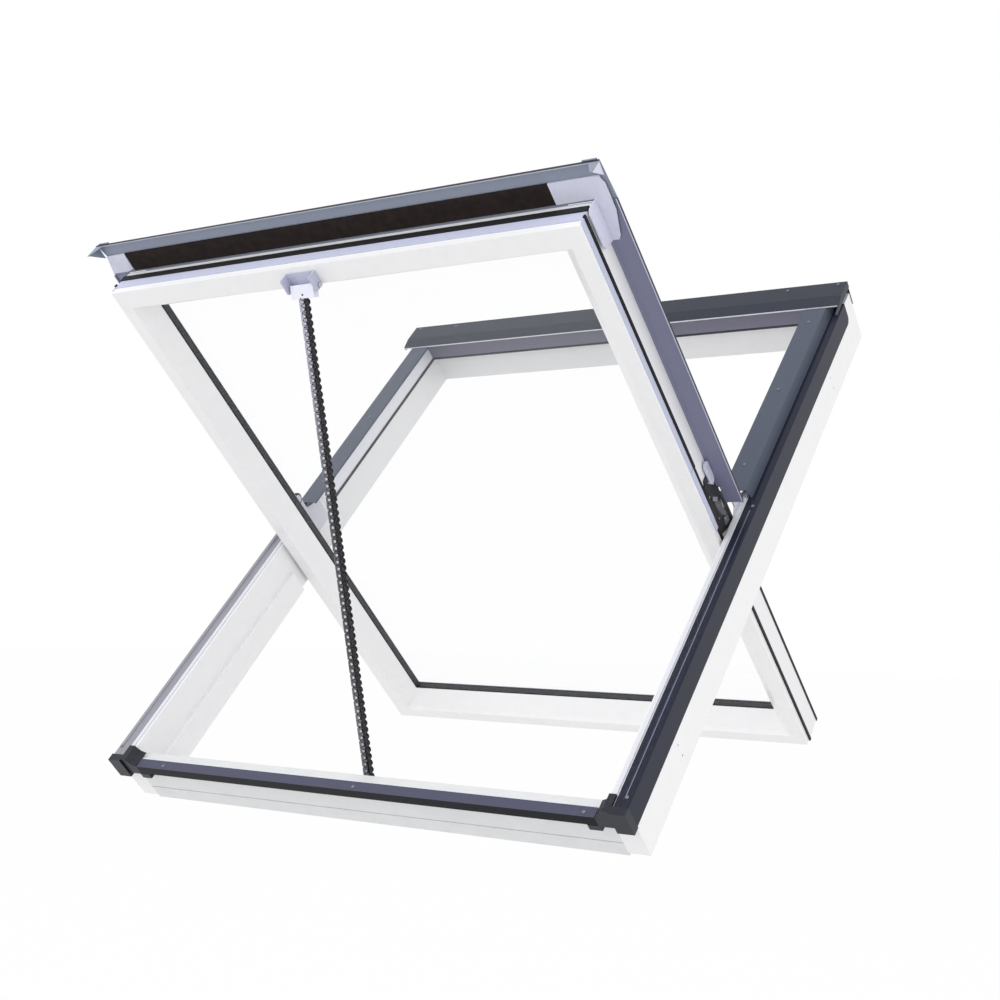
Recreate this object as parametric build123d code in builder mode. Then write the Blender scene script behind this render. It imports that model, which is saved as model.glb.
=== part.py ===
"""Centre-pivot roof window for smoke venting, with its frame, shown open.

The window lies in a roof slope. Its own axes are x along the width, s up the slope and n out of the
roof, and all three start at the middle of the pivot axis. FRAME turns them into the real position,
with the origin at the middle of the sill face under the lower frame member. SASH does the same for
the sash, whose q and m lie on s and n when the window is closed.
Millimetres.
"""
import os
from math import atan2, cos, degrees, radians, sin, sqrt

from build123d import *

# Driving sizes of the window
WIDTH = 1140.0
HEIGHT = 1400.0
ROOF_PITCH = 45.0
OPENING_ANGLE = 87.0
PIVOT_FROM_BOTTOM = 710.0
PIVOT_ABOVE_WOOD = 47.0

# Frame members, painted timber
FRAME_DEPTH = 115.0
SIDE_THICK = 40.0
TOP_THICK = 32.0
BOTTOM_THICK = 38.0
BOTTOM_EXTRA_DEPTH = 6.0
STOP_STEP = 11.0
STOP_DEPTH = 50.0
STOP_END = 125.0
REBATE_DROP = 33.0
REBATE_LAND = 10.0
BOTTOM_LOWER = 14.5
FACE_GROOVE = 2.0
FACE_GROOVE_AT = 88.0
SILL_DROP = 105.0
BRACKET_HOLE_R = 2.5
BRACKET_HOLE_DEPTH = 4.0
BRACKET_HOLE_SPOTS = ((-527.0, 62.0), (-527.0, 88.0), (470.0, 62.0), (470.0, 88.0))

# Sheet metal covers of the frame
SHEET = 1.5
COVER_BAND = 25.0
COVER_SIDE_DROP = 44.0
COVER_RIDGE = 2.5
COVER_TOP_GAP = 45.0
EAR_RADIUS = 14.0
PLATE_RISE = 21.0
PLATE_OVERHANG = 32.0
PLATE_LIP = 4.5
PLATE_START = 18.0
TOP_COVER_RISE = 29.0
TOP_COVER_REACH = 76.0
TOP_COVER_BEND = 50.0
TOP_COVER_FALL = 6.0
TOP_COVER_SKIRT = 40.0
TOP_FLANGE_LENGTH = 108.0
TOP_FLANGE_DROP = 15.0
BOTTOM_COVER_PROUD = 12.0
BOTTOM_COVER_LAND = 8.0
BOTTOM_COVER_DROP = 20.0
CAP_DEEP = 47.0
CAP_FOOT = 11.0
CAP_BLOCK = 20.0
CAP_RISE_LONG = 24.0
SCREW_HEAD_R = 3.2
SCREW_HEAD_HIGH = 1.4
PLATE_SCREW_IN = 22.0
TOP_SCREW_IN = 88.0
LOW_SCREW_IN = 41.0

# Linings and seals of the frame
STRIP_WIDTH = 8.0
STRIP_THICK = 3.0
LINING_DROP = 37.0
LINING_TOP_STAND = 13.0
SEAL_HIGH = 6.0
SEAL_STAND = 3.5
UPPER_SEAL_START = 70.0

# Sash, painted timber, measured from the pivot axis
SASH_GAP = 7.0
SASH_BELOW_PIVOT = 659.0
SASH_ABOVE_PIVOT = 639.0
SASH_FACE_IN = -105.0
SASH_FACE_OUT = -40.0
STILE_FACE = 29.0
TOP_RAIL_FACE = 25.0
BOTTOM_RAIL_FACE = 39.0
ARRIS_DEPTH = 7.0
ARRIS_WIDTH = 6.0
REVEAL_DEPTH = 34.0
STILE_REVEAL = 33.0
TOP_REVEAL = 41.0
BOTTOM_REVEAL = 22.0
REBATE_WIDTH = 19.0
LIP_THICK = 2.0
JOINT_FROM_ARRIS = 4.0

# Glass unit
PANE = 4.0
CAVITY = 14.0
GLAZING_SEAL = 3.0
GLASS_CLEAR = 2.0
SPACER_WIDTH = 8.0
SEAL_SHOW = 8.5

# Sash covers and trims
CLAD = 1.5
CLAD_ON_GLASS = 2.0
FLANGE_LIFT = 2.5
SIDE_FLANGE_OUT = 5.0
SIDE_FLANGE_LIP = 5.0
SIDE_FLANGE_END = 5.0
HINGE_NOTCH_END = 34.0
HINGE_NOTCH_WIDTH = 10.0
SEAL_END = 126.0
BOTTOM_FLANGE_OUT = 70.0
BOTTOM_FLANGE_BAND = 25.0
BOTTOM_FLANGE_LIP = 6.0
PANEL_THICK = 3.0
PANEL_STOP = 62.0
CORNER_PART = 34.0
CORNER_REACH = 28.0
WRAP_LONG = 74.0
PANEL_LEFT_IN = 21.0
PANEL_RIGHT_IN = 66.0
TRIM_THICK = 1.6
TRIM_WIDE = 20.0
TRIM_FROM_FACE = 10.0
LOWER_SEAL_WIDE = 6.0
RAIL_SEAL_WIDE = 13.0
LOWER_SEAL_STAND = 4.0
UPPER_SEAL_STAND = 3.0
UPPER_SEAL_WIDE = 6.0
UPPER_SEAL_FROM_FACE = 13.0

# Pivot hinges, plates either side of the gap between sash and frame
HINGE_PLATE = 3.5
HINGE_EAR_R = 14.0
HINGE_PIN_R = 6.0
HINGE_PIN_HEAD_R = 9.0
HINGE_PIN_HEAD = 2.0
RUN_CLEAR = 0.05
FRAME_PLATE_THICK = 3.0
FRAME_PLATE_LOW = 30.0
FRAME_PLATE_HIGH = 60.0
FRAME_PLATE_DEEP = 60.0
SASH_PLATE_LONG = 81.0
SASH_PLATE_TOP = -41.0
SASH_PLATE_DEEP = -72.0
SASH_PLATE_FOOT = 14.0
HINGE_CAP_LONG = 50.0
HINGE_CAP_WIDE = 20.0
HINGE_CAP_THICK = 2.5
HINGE_CAP_RIB = 0.8

# Push chain drive
CHAIN_X = -50.0
CHAIN_PIN_BELOW = 621.6
CHAIN_PIN_STAND = 9.0
EXIT_DEPTH = 103.0
CHAIN_OFFSET = -2.8
PITCH = 12.7
LINK_BACK = 9.5
LOBE_RADIUS = 5.2
LOBE_OUT = 5.4
CHAIN_THICK = 12.4
CHAIN_PLATE = 2.2
LINK_GAP = 0.4
BRACKET_WIDE = 67.0
BRACKET_LONG = 32.0
BRACKET_DEEP = 23.0
BRACKET_SHEET = 2.5
HEAD_WIDE = 52.0
HEAD_LONG = 24.5
HEAD_FRONT = 9.0
HEAD_BACK = 4.5
HEAD_PIN_R = 2.5
HEAD_PIN_HEAD_R = 4.5
GUIDE_WIDE = 40.0
GUIDE_THICK = 20.0
GUIDE_LONG = 11.0
TRUNNION_R = 4.0
TRUNNION_LONG = 7.0
EAR_PLATE = 4.0
EAR_GAP = 1.0
ACTUATOR_LONG = 600.0
ACTUATOR_HIGH = 22.0
ACTUATOR_DEEP = 54.0
ACTUATOR_SHARE = 0.175
END_CAP = 12.0

# Positions that follow from the sizes
HALF = WIDTH / 2
BOTTOM = -PIVOT_FROM_BOTTOM
TOP = HEIGHT - PIVOT_FROM_BOTTOM
WOOD = -PIVOT_ABOVE_WOOD
BACK = WOOD - FRAME_DEPTH
INNER = HALF - SIDE_THICK
TOP_INNER = TOP - TOP_THICK
BOTTOM_INNER = BOTTOM + BOTTOM_THICK
COVER_TOP = WOOD + SHEET
BOTTOM_WOOD = WOOD - BOTTOM_LOWER
BOTTOM_COVER_TOP = BOTTOM_WOOD + SHEET
PLATE_TOP = WOOD + PLATE_RISE
PLATE_UNDER = PLATE_TOP - SHEET
PLATE_EDGE = INNER - PLATE_OVERHANG
PLATE_END = TOP_INNER - LINING_TOP_STAND - 2.0
BAND_INNER = HALF - COVER_BAND
LINING_BOTTOM = WOOD - LINING_DROP
SEAL_BOTTOM = LINING_BOTTOM - SEAL_HIGH
STOP_TOP = BACK + STOP_DEPTH
TOP_COVER_TOP = WOOD + TOP_COVER_RISE
SASH_HALF = INNER - SASH_GAP
SASH_BOTTOM = -SASH_BELOW_PIVOT
SASH_TOP = SASH_ABOVE_PIVOT
ARRIS_X = SASH_HALF - STILE_FACE
ARRIS_TOP = SASH_TOP - TOP_RAIL_FACE
ARRIS_BOTTOM = SASH_BOTTOM + BOTTOM_RAIL_FACE
LIP_X = ARRIS_X - STILE_REVEAL
LIP_TOP = ARRIS_TOP - TOP_REVEAL
LIP_BOTTOM = ARRIS_BOTTOM + BOTTOM_REVEAL
LIP_IN = SASH_FACE_IN + REVEAL_DEPTH
LIP_OUT = LIP_IN + LIP_THICK
REBATE_X = LIP_X + REBATE_WIDTH
REBATE_TOP = LIP_TOP + REBATE_WIDTH
REBATE_BOTTOM = LIP_BOTTOM - REBATE_WIDTH
GLASS_X = REBATE_X - GLASS_CLEAR
GLASS_TOP = REBATE_TOP - GLASS_CLEAR
GLASS_BOTTOM = REBATE_BOTTOM + GLASS_CLEAR
GLASS_IN = LIP_OUT + GLAZING_SEAL
GLASS_OUT = GLASS_IN + 2 * PANE + CAVITY
CLAD_TOP = SASH_FACE_OUT + CLAD
CLAD_X = GLASS_X - CLAD_ON_GLASS
CLAD_ABOVE = GLASS_TOP - CLAD_ON_GLASS
CLAD_BELOW = GLASS_BOTTOM + CLAD_ON_GLASS
FLANGE_TOP = CLAD_TOP + FLANGE_LIFT
FLANGE_UNDER = FLANGE_TOP - CLAD
FLANGE_X = HALF - SIDE_FLANGE_OUT
FLANGE_BOTTOM = SASH_BOTTOM - BOTTOM_FLANGE_OUT
HINGE_FRAME_X = INNER - FRAME_PLATE_THICK
HINGE_SASH_X = SASH_HALF + HINGE_PLATE
PIN_Q = -CHAIN_PIN_BELOW
PIN_M = SASH_FACE_IN - CHAIN_PIN_STAND
PIN_REACH = sqrt(PIN_Q**2 + PIN_M**2)
EXIT_N = WOOD - EXIT_DEPTH
EXIT_S = -sqrt(PIN_REACH**2 - EXIT_N**2)
OPEN_S = PIN_Q * cos(radians(OPENING_ANGLE)) + PIN_M * sin(radians(OPENING_ANGLE))
OPEN_N = PIN_M * cos(radians(OPENING_ANGLE)) - PIN_Q * sin(radians(OPENING_ANGLE))
CHAIN_REACH = sqrt((EXIT_S - OPEN_S) ** 2 + (EXIT_N - OPEN_N) ** 2)
CHAIN_ANGLE = degrees(atan2(EXIT_N - OPEN_N, EXIT_S - OPEN_S))

SILL_N = WOOD - SILL_DROP
SHIFT_Y = SILL_N * sin(radians(ROOF_PITCH)) - BOTTOM * cos(radians(ROOF_PITCH))
SHIFT_Z = -BOTTOM * sin(radians(ROOF_PITCH)) - SILL_N * cos(radians(ROOF_PITCH))

FRAME = Location((0, SHIFT_Y, SHIFT_Z), (ROOF_PITCH, 0, 0))
SASH = FRAME * Location((0, 0, 0), (-OPENING_ANGLE, 0, 0))
CHAIN = FRAME * Location((CHAIN_X, OPEN_S, OPEN_N), (CHAIN_ANGLE, 0, 0))
EXIT = FRAME * Location((CHAIN_X, EXIT_S, EXIT_N), (CHAIN_ANGLE, 0, 0))
SIDES = (("left", -1), ("right", 1))

os.makedirs("parts", exist_ok=True)


def across(base, s):
    """Plane across a side member at height s, drawn in x and n; it extrudes down the slope."""
    return Plane(base * Plane.XZ.offset(-s).location)


def along(base, x):
    """Plane across a rail at x, drawn in s and n; it extrudes towards +x."""
    return Plane(base * Plane.YZ.offset(x).location)


def facing(base, n):
    """Plane in the window's own plane at depth n, drawn in x and s; it extrudes outwards."""
    return Plane(base * Plane.XY.offset(n).location)


def prism(plane, points, length, mode=Mode.ADD):
    """Extrude a closed outline from its plane."""
    with BuildSketch(plane) as shape:
        with BuildLine():
            Polyline(*points, close=True)
        make_face()
    extrude(shape.sketch, amount=length, mode=mode)


def slab(plane, low, high, length, mode=Mode.ADD):
    """Extrude the rectangle between two corners from its plane."""
    (x0, y0), (x1, y1) = low, high
    with BuildSketch(plane) as shape:
        with Locations(((x0 + x1) / 2, (y0 + y1) / 2)):
            Rectangle(abs(x1 - x0), abs(y1 - y0))
    extrude(shape.sketch, amount=length, mode=mode)


def rod(plane, centre, radius, length, mode=Mode.ADD):
    """Extrude a round bar from its plane."""
    with BuildSketch(plane) as shape:
        with Locations(centre):
            Circle(radius)
    extrude(shape.sketch, amount=length, mode=mode)


def bent_sheet(plane, path, thick, length, bend=0.0):
    """Extrude sheet metal that follows a path; its thickness lies to the right of the path."""
    with BuildSketch(plane) as shape:
        with BuildLine():
            if bend > 0:
                FilletPolyline(*path, radius=bend)
            else:
                Polyline(*path)
            offset(amount=thick, side=Side.RIGHT, closed=True)
        make_face()
    extrude(shape.sketch, amount=length)


def sided_sheet(plane, sign, path, thick, length, bend=0.0):
    """Bent sheet on the left or the right; the path given is the right hand one."""
    run = path if sign > 0 else [(-x, y) for x, y in reversed(path)]
    bent_sheet(plane, run, thick, length, bend)


def ring(plane, outer, inner, length):
    """Extrude a rectangular ring; each rectangle is half width, low and high."""
    (outer_x, outer_low, outer_high), (inner_x, inner_low, inner_high) = outer, inner
    slab(plane, (-outer_x, outer_low), (outer_x, outer_high), length)
    slab(plane, (-inner_x, inner_low), (inner_x, inner_high), length, Mode.SUBTRACT)


def arch(plane, start, half, top, thick, length):
    """Extrude an upside down U: two legs from start up to top and the bar across the top."""
    slab(plane, (-half, start), (half, top), length)
    slab(plane, (-half + thick, start), (half - thick, top - thick), length, Mode.SUBTRACT)


def save(piece, name):
    """Label a finished piece and write it."""
    piece.part.label = name
    export_step(piece.part, f"parts/{name}.step")


# Frame side members, with the stop for the sash below the pivot and holes for the fixing brackets
for side, sign in SIDES:
    with BuildPart() as member:
        slab(across(FRAME, TOP), (sign * INNER, BACK), (sign * HALF, WOOD), HEIGHT)
        stop_low, stop_high = (sign * (INNER - STOP_STEP), BACK), (sign * INNER, STOP_TOP)
        stop_length = PIVOT_FROM_BOTTOM - BOTTOM_THICK - STOP_END
        slab(across(FRAME, -STOP_END), stop_low, stop_high, stop_length)
        for hole_s, hole_drop in BRACKET_HOLE_SPOTS:
            hole_plane = along(FRAME, sign * HALF)
            hole_depth = -sign * BRACKET_HOLE_DEPTH
            rod(hole_plane, (hole_s, WOOD - hole_drop), BRACKET_HOLE_R, hole_depth, Mode.SUBTRACT)
    save(member, f"frame_side_member_{side}")

# Frame top member
with BuildPart() as frame_top:
    slab(along(FRAME, -INNER), (TOP_INNER, BACK), (TOP, WOOD), 2 * INNER)
save(frame_top, "frame_top_member")

# Frame bottom member, with the sloped rebate under the sash and a shallow groove outside
with BuildPart() as frame_bottom:
    outline = [
        (BOTTOM, BACK - BOTTOM_EXTRA_DEPTH),
        (BOTTOM_INNER, BACK - BOTTOM_EXTRA_DEPTH),
        (BOTTOM_INNER, WOOD - REBATE_DROP),
        (BOTTOM + REBATE_LAND, BOTTOM_WOOD),
        (BOTTOM, BOTTOM_WOOD),
    ]
    prism(along(FRAME, -INNER), outline, 2 * INNER)
    groove_low = (BOTTOM, WOOD - FACE_GROOVE_AT - FACE_GROOVE)
    groove_high = (BOTTOM + FACE_GROOVE, WOOD - FACE_GROOVE_AT)
    slab(along(FRAME, -INNER), groove_low, groove_high, 2 * INNER, Mode.SUBTRACT)
save(frame_bottom, "frame_bottom_member")

# Side covers over the outer edge of the frame, full length, with a rounded ear at the top end
side_cover_end = TOP - COVER_TOP_GAP
side_path = [
    (BAND_INNER, COVER_TOP),
    (BAND_INNER + 10, COVER_TOP),
    (BAND_INNER + 15, COVER_TOP + COVER_RIDGE),
    (HALF + SHEET, COVER_TOP + COVER_RIDGE),
    (HALF + SHEET, COVER_TOP - COVER_SIDE_DROP),
]
for side, sign in SIDES:
    with BuildPart() as cover:
        section = across(FRAME, side_cover_end)
        sided_sheet(section, sign, side_path, SHEET, side_cover_end - BOTTOM, 3.0)
        ear_edges = cover.edges().filter_by(Axis.X).sort_by(Axis.Z)
        ear_corner = min(ear_edges[-12:], key=lambda edge: edge.center().Y * -1 + edge.center().Z * 0.2)
        fillet([ear_corner], radius=EAR_RADIUS)
    save(cover, f"side_cover_{side}")

# Raised cover plates over the joint between sash and frame, above the pivot
plate_path = [
    (PLATE_EDGE, PLATE_TOP - PLATE_LIP),
    (PLATE_EDGE, PLATE_TOP),
    (BAND_INNER, PLATE_TOP),
    (BAND_INNER + 6, COVER_TOP + SHEET),
    (BAND_INNER + 8, COVER_TOP + SHEET),
]
for side, sign in SIDES:
    with BuildPart() as plate:
        plate_length = PLATE_END - PLATE_START
        sided_sheet(across(FRAME, PLATE_END), sign, plate_path, SHEET, plate_length)
    save(plate, f"upper_cover_{side}")

# Cover over the top of the frame, with its folded end flanges
with BuildPart() as top_cover:
    top_path = [
        (TOP - TOP_COVER_REACH - 4, TOP_COVER_TOP - TOP_COVER_FALL - 0.3),
        (TOP - TOP_COVER_REACH - 2, TOP_COVER_TOP - TOP_COVER_FALL),
        (TOP - TOP_COVER_BEND, TOP_COVER_TOP),
        (TOP + SHEET, TOP_COVER_TOP),
        (TOP + SHEET, TOP_COVER_TOP - TOP_COVER_SKIRT - 17),
    ]
    bent_sheet(along(FRAME, -HALF - SHEET), top_path, SHEET, 2 * (HALF + SHEET))
    for side, sign in SIDES:
        flange_outline = [
            (TOP + SHEET, TOP_COVER_TOP),
            (TOP + SHEET, TOP_COVER_TOP - TOP_FLANGE_DROP),
            (TOP - TOP_COVER_REACH, TOP_COVER_TOP - TOP_FLANGE_DROP),
            (TOP - TOP_COVER_REACH, TOP_COVER_TOP - TOP_COVER_FALL),
            (TOP - TOP_COVER_BEND, TOP_COVER_TOP),
        ]
        if sign > 0:
            flange_outline[2:3] = [
                (TOP - TOP_FLANGE_LENGTH + 8, TOP_COVER_TOP - TOP_FLANGE_DROP - 2),
                (TOP - TOP_FLANGE_LENGTH, TOP_COVER_TOP - TOP_FLANGE_DROP + 4),
                (TOP - TOP_FLANGE_LENGTH + 6, TOP_COVER_TOP - TOP_COVER_FALL - 2),
            ]
        prism(along(FRAME, sign * (HALF + SHEET)), flange_outline, sign * SHEET)
save(top_cover, "top_cover")

# Bottom cover on the lower frame member
with BuildPart() as bottom_cover:
    bottom_path = [
        (BOTTOM, BOTTOM_COVER_TOP - BOTTOM_COVER_DROP),
        (BOTTOM - BOTTOM_COVER_PROUD, BOTTOM_COVER_TOP - BOTTOM_COVER_DROP),
        (BOTTOM - BOTTOM_COVER_PROUD, BOTTOM_COVER_TOP),
        (BOTTOM + BOTTOM_COVER_LAND, BOTTOM_COVER_TOP),
    ]
    cover_half = INNER - CAP_BLOCK
    bent_sheet(along(FRAME, -cover_half), bottom_path, SHEET, 2 * cover_half)
save(bottom_cover, "bottom_cover")

# Corner caps at the lower ends of the side covers, with a raised block over the corner joint
cap_front = BOTTOM - BOTTOM_COVER_PROUD - 3.5
cap_low = COVER_TOP + COVER_RIDGE - CAP_DEEP
cap_step = BOTTOM - BOTTOM_COVER_PROUD
block_top = COVER_TOP + COVER_RIDGE + 1
CAP_INNER = INNER + 12
CAP_FRONT_LOW = BOTTOM_COVER_TOP - BOTTOM_COVER_DROP - 2
for side, sign in SIDES:
    with BuildPart() as cap:
        cap_outer = sign * (HALF + 2 * SHEET)
        cap_deep = COVER_TOP + COVER_RIDGE + 1 - cap_low
        slab(facing(FRAME, cap_low), (sign * CAP_INNER, cap_front), (cap_outer, BOTTOM), cap_deep)
        front_low = (sign * (INNER - CAP_BLOCK + 0.5), cap_step)
        front_high = (sign * (CAP_INNER + 1), BOTTOM)
        slab(facing(FRAME, CAP_FRONT_LOW), front_low, front_high, BOTTOM_COVER_TOP - CAP_FRONT_LOW)
        foot_low = (sign * (INNER - 2 * CAP_BLOCK), cap_step)
        foot_high = (sign * (INNER - CAP_BLOCK + 4), BOTTOM)
        slab(facing(FRAME, CAP_FRONT_LOW - CAP_FOOT), foot_low, foot_high, CAP_FOOT + 1)
        rise = [
            (sign * (INNER - CAP_BLOCK + 0.5), BOTTOM_WOOD),
            (sign * (INNER - 8), BOTTOM_WOOD + 5.5),
            (sign * (INNER - 3), BOTTOM_WOOD + 14),
            (sign * INNER, block_top),
            (sign * (CAP_INNER + 1), block_top),
            (sign * (CAP_INNER + 1), WOOD),
            (sign * INNER, WOOD),
            (sign * INNER, BOTTOM_WOOD),
        ]
        prism(across(FRAME, BOTTOM + CAP_RISE_LONG), rise, CAP_RISE_LONG)
        face = rise[:5] + [(sign * (CAP_INNER + 1), BOTTOM_WOOD)]
        prism(across(FRAME, BOTTOM), face, BOTTOM_COVER_PROUD)
    save(cap, f"corner_cap_{side}")

# Light strips along the inner edge of the frame, below the pivot
for side, sign in SIDES:
    with BuildPart() as strip:
        strip_low = (sign * (INNER + 4), BOTTOM_INNER + 4)
        strip_high = (sign * (INNER + 4 + STRIP_WIDTH), 35.0)
        slab(facing(FRAME, WOOD), strip_low, strip_high, STRIP_THICK)
    save(strip, f"light_strip_{side}")

# Side linings above the pivot, standing from the frame up to the cover plates
for side, sign in SIDES:
    with BuildPart() as lining:
        lining_path = [
            (INNER - SHEET, LINING_BOTTOM),
            (INNER - SHEET, PLATE_UNDER),
            (INNER + 13, PLATE_UNDER),
        ]
        lining_length = PLATE_END - UPPER_SEAL_START
        sided_sheet(across(FRAME, PLATE_END), sign, lining_path, SHEET, lining_length)
    save(lining, f"side_lining_{side}")

# Lining under the top cover
with BuildPart() as top_lining:
    lining_stand = TOP_INNER - LINING_TOP_STAND
    top_lining_path = [
        (TOP_INNER, LINING_BOTTOM),
        (lining_stand, LINING_BOTTOM),
        (lining_stand, TOP_COVER_TOP - SHEET),
        (TOP_INNER + 4, TOP_COVER_TOP - SHEET),
    ]
    bent_sheet(along(FRAME, -INNER), top_lining_path, SHEET, 2 * INNER)
save(top_lining, "top_lining")

# Seal around the upper half of the frame
with BuildPart() as frame_seal:
    seal_plane = facing(FRAME, SEAL_BOTTOM)
    slab(seal_plane, (-INNER, TOP_INNER - LINING_TOP_STAND), (INNER, TOP_INNER), SEAL_HIGH)
    for side, sign in SIDES:
        leg_low = (sign * (INNER - SEAL_STAND), UPPER_SEAL_START)
        slab(seal_plane, leg_low, (sign * INNER, TOP_INNER - 1), SEAL_HIGH)
save(frame_seal, "frame_seal")

# Screws in the covers of the frame
plate_x = PLATE_EDGE + PLATE_SCREW_IN
screw_spots = (
    (facing(FRAME, PLATE_TOP), ((plate_x, 560), (plate_x, 327), (plate_x, 93))),
    (facing(FRAME, TOP_COVER_TOP), ((INNER - TOP_SCREW_IN, TOP - 12), (HALF - 15, TOP - 8))),
    (facing(FRAME, COVER_TOP + COVER_RIDGE), ((HALF - 7, -9), (HALF - 7, BOTTOM + 20))),
)
with BuildPart() as cover_screws:
    for screw_plane, spots in screw_spots:
        for side, sign in SIDES:
            for spot_x, spot_s in spots:
                rod(screw_plane, (sign * spot_x, spot_s), SCREW_HEAD_R, SCREW_HEAD_HIGH)
    for spot_x in (TOP_SCREW_IN - INNER, 25, INNER - LOW_SCREW_IN):
        cover_face = facing(FRAME, BOTTOM_COVER_TOP)
        rod(cover_face, (spot_x, BOTTOM - 4), SCREW_HEAD_R, SCREW_HEAD_HIGH)
save(cover_screws, "cover_screws")

# Hinge plates on the frame, each with the pin that carries the sash
for side, sign in SIDES:
    with BuildPart() as frame_plate:
        plate_outline = [
            (-FRAME_PLATE_LOW, WOOD - FRAME_PLATE_DEEP),
            (FRAME_PLATE_HIGH, WOOD - FRAME_PLATE_DEEP),
            (FRAME_PLATE_HIGH, WOOD - 4),
            (HINGE_EAR_R, WOOD + 8),
            (HINGE_EAR_R, 0),
            (-HINGE_EAR_R, 0),
            (-HINGE_EAR_R, WOOD + 8),
            (-FRAME_PLATE_LOW, WOOD - 4),
        ]
        prism(along(FRAME, sign * HINGE_FRAME_X), plate_outline, sign * FRAME_PLATE_THICK)
        rod(along(FRAME, sign * HINGE_FRAME_X), (0, 0), HINGE_EAR_R, sign * FRAME_PLATE_THICK)
        pin_length = HINGE_FRAME_X - SASH_HALF + 0.5
        rod(along(FRAME, sign * HINGE_FRAME_X), (0, 0), HINGE_PIN_R, -sign * pin_length)
        head_plane = along(FRAME, sign * (SASH_HALF - 0.5))
        rod(head_plane, (0, 0), HINGE_PIN_HEAD_R, -sign * HINGE_PIN_HEAD)
    save(frame_plate, f"hinge_frame_plate_{side}")

# Hinge plates on the sash, each with the eye that turns on the pin
for side, sign in SIDES:
    with BuildPart() as sash_plate:
        sash_outline = [
            (-SASH_PLATE_LONG, SASH_PLATE_DEEP),
            (SASH_PLATE_FOOT, SASH_PLATE_DEEP),
            (SASH_PLATE_FOOT, 0),
            (-HINGE_EAR_R, 0),
            (-HINGE_EAR_R, SASH_PLATE_TOP + 12),
            (-30, SASH_PLATE_TOP),
            (-SASH_PLATE_LONG, SASH_PLATE_TOP),
        ]
        prism(along(SASH, sign * SASH_HALF), sash_outline, sign * HINGE_PLATE)
        rod(along(SASH, sign * SASH_HALF), (0, 0), HINGE_EAR_R, sign * HINGE_PLATE)
        eye_radius = HINGE_PIN_R + RUN_CLEAR
        rod(along(SASH, sign * SASH_HALF), (0, 0), eye_radius, sign * HINGE_PLATE, Mode.SUBTRACT)
    save(sash_plate, f"hinge_sash_plate_{side}")

# Ribbed caps on the sash plates
for side, sign in SIDES:
    with BuildPart() as hinge_cap:
        cap_base = along(SASH, sign * HINGE_SASH_X)
        with BuildSketch(cap_base) as cap_shape:
            with Locations((-SASH_PLATE_LONG, SASH_PLATE_TOP - 8)):
                SlotOverall(HINGE_CAP_LONG, HINGE_CAP_WIDE)
        extrude(cap_shape.sketch, amount=sign * HINGE_CAP_THICK)
        rib_base = along(SASH, sign * (HINGE_SASH_X + HINGE_CAP_THICK))
        for rib in range(-3, 4):
            rib_q = -SASH_PLATE_LONG + 5 * rib
            rib_low = (rib_q - 1, SASH_PLATE_TOP - 15)
            slab(rib_base, rib_low, (rib_q + 1, SASH_PLATE_TOP - 1), sign * HINGE_CAP_RIB)
    save(hinge_cap, f"hinge_cap_{side}")

# Sash stiles; the reveal slopes in to the glass, which lies in a rebate on the outside
ARRIS_MID = SASH_FACE_IN + ARRIS_DEPTH
for side, sign in SIDES:
    with BuildPart() as stile:
        stile_low, stile_high = (sign * LIP_X, SASH_BOTTOM), (sign * SASH_HALF, SASH_TOP)
        slab(facing(SASH, SASH_FACE_IN), stile_low, stile_high, SASH_FACE_OUT - SASH_FACE_IN)
        opening_rects = (
            (SASH_FACE_IN, ARRIS_X, ARRIS_BOTTOM, ARRIS_TOP),
            (ARRIS_MID, ARRIS_X - ARRIS_WIDTH, ARRIS_BOTTOM + ARRIS_WIDTH, ARRIS_TOP - ARRIS_WIDTH),
            (LIP_IN, LIP_X, LIP_BOTTOM, LIP_TOP),
        )
        faces = []
        for rect_m, rect_x, rect_low, rect_high in opening_rects:
            with BuildSketch(facing(SASH, rect_m)) as rect_shape:
                with Locations((0, (rect_low + rect_high) / 2)):
                    Rectangle(2 * rect_x, rect_high - rect_low)
            faces.append(rect_shape.sketch)
        loft(faces[0:2], mode=Mode.SUBTRACT)
        loft(faces[1:3], mode=Mode.SUBTRACT)
        rebate_low, rebate_high = (-REBATE_X, REBATE_BOTTOM), (REBATE_X, REBATE_TOP)
        rebate_depth = SASH_FACE_OUT - LIP_OUT
        slab(facing(SASH, LIP_OUT), rebate_low, rebate_high, rebate_depth, Mode.SUBTRACT)
    save(stile, f"sash_stile_{side}")

# Sash rails between the stiles, with the same slope and rebate
rail_outlines = {
    "sash_top_rail": [
        (SASH_TOP, SASH_FACE_IN),
        (SASH_TOP, SASH_FACE_OUT),
        (REBATE_TOP, SASH_FACE_OUT),
        (REBATE_TOP, LIP_OUT),
        (LIP_TOP, LIP_OUT),
        (LIP_TOP, LIP_IN),
        (ARRIS_TOP - ARRIS_WIDTH, ARRIS_MID),
        (ARRIS_TOP, SASH_FACE_IN),
    ],
    "sash_bottom_rail": [
        (SASH_BOTTOM, SASH_FACE_IN),
        (SASH_BOTTOM, SASH_FACE_OUT),
        (REBATE_BOTTOM, SASH_FACE_OUT),
        (REBATE_BOTTOM, LIP_OUT),
        (LIP_BOTTOM, LIP_OUT),
        (LIP_BOTTOM, LIP_IN),
        (ARRIS_BOTTOM + ARRIS_WIDTH, ARRIS_MID),
        (ARRIS_BOTTOM, SASH_FACE_IN),
    ],
}
for rail_name, rail_outline in rail_outlines.items():
    with BuildPart() as rail:
        prism(along(SASH, -LIP_X), rail_outline, 2 * LIP_X)
    save(rail, rail_name)

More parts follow.
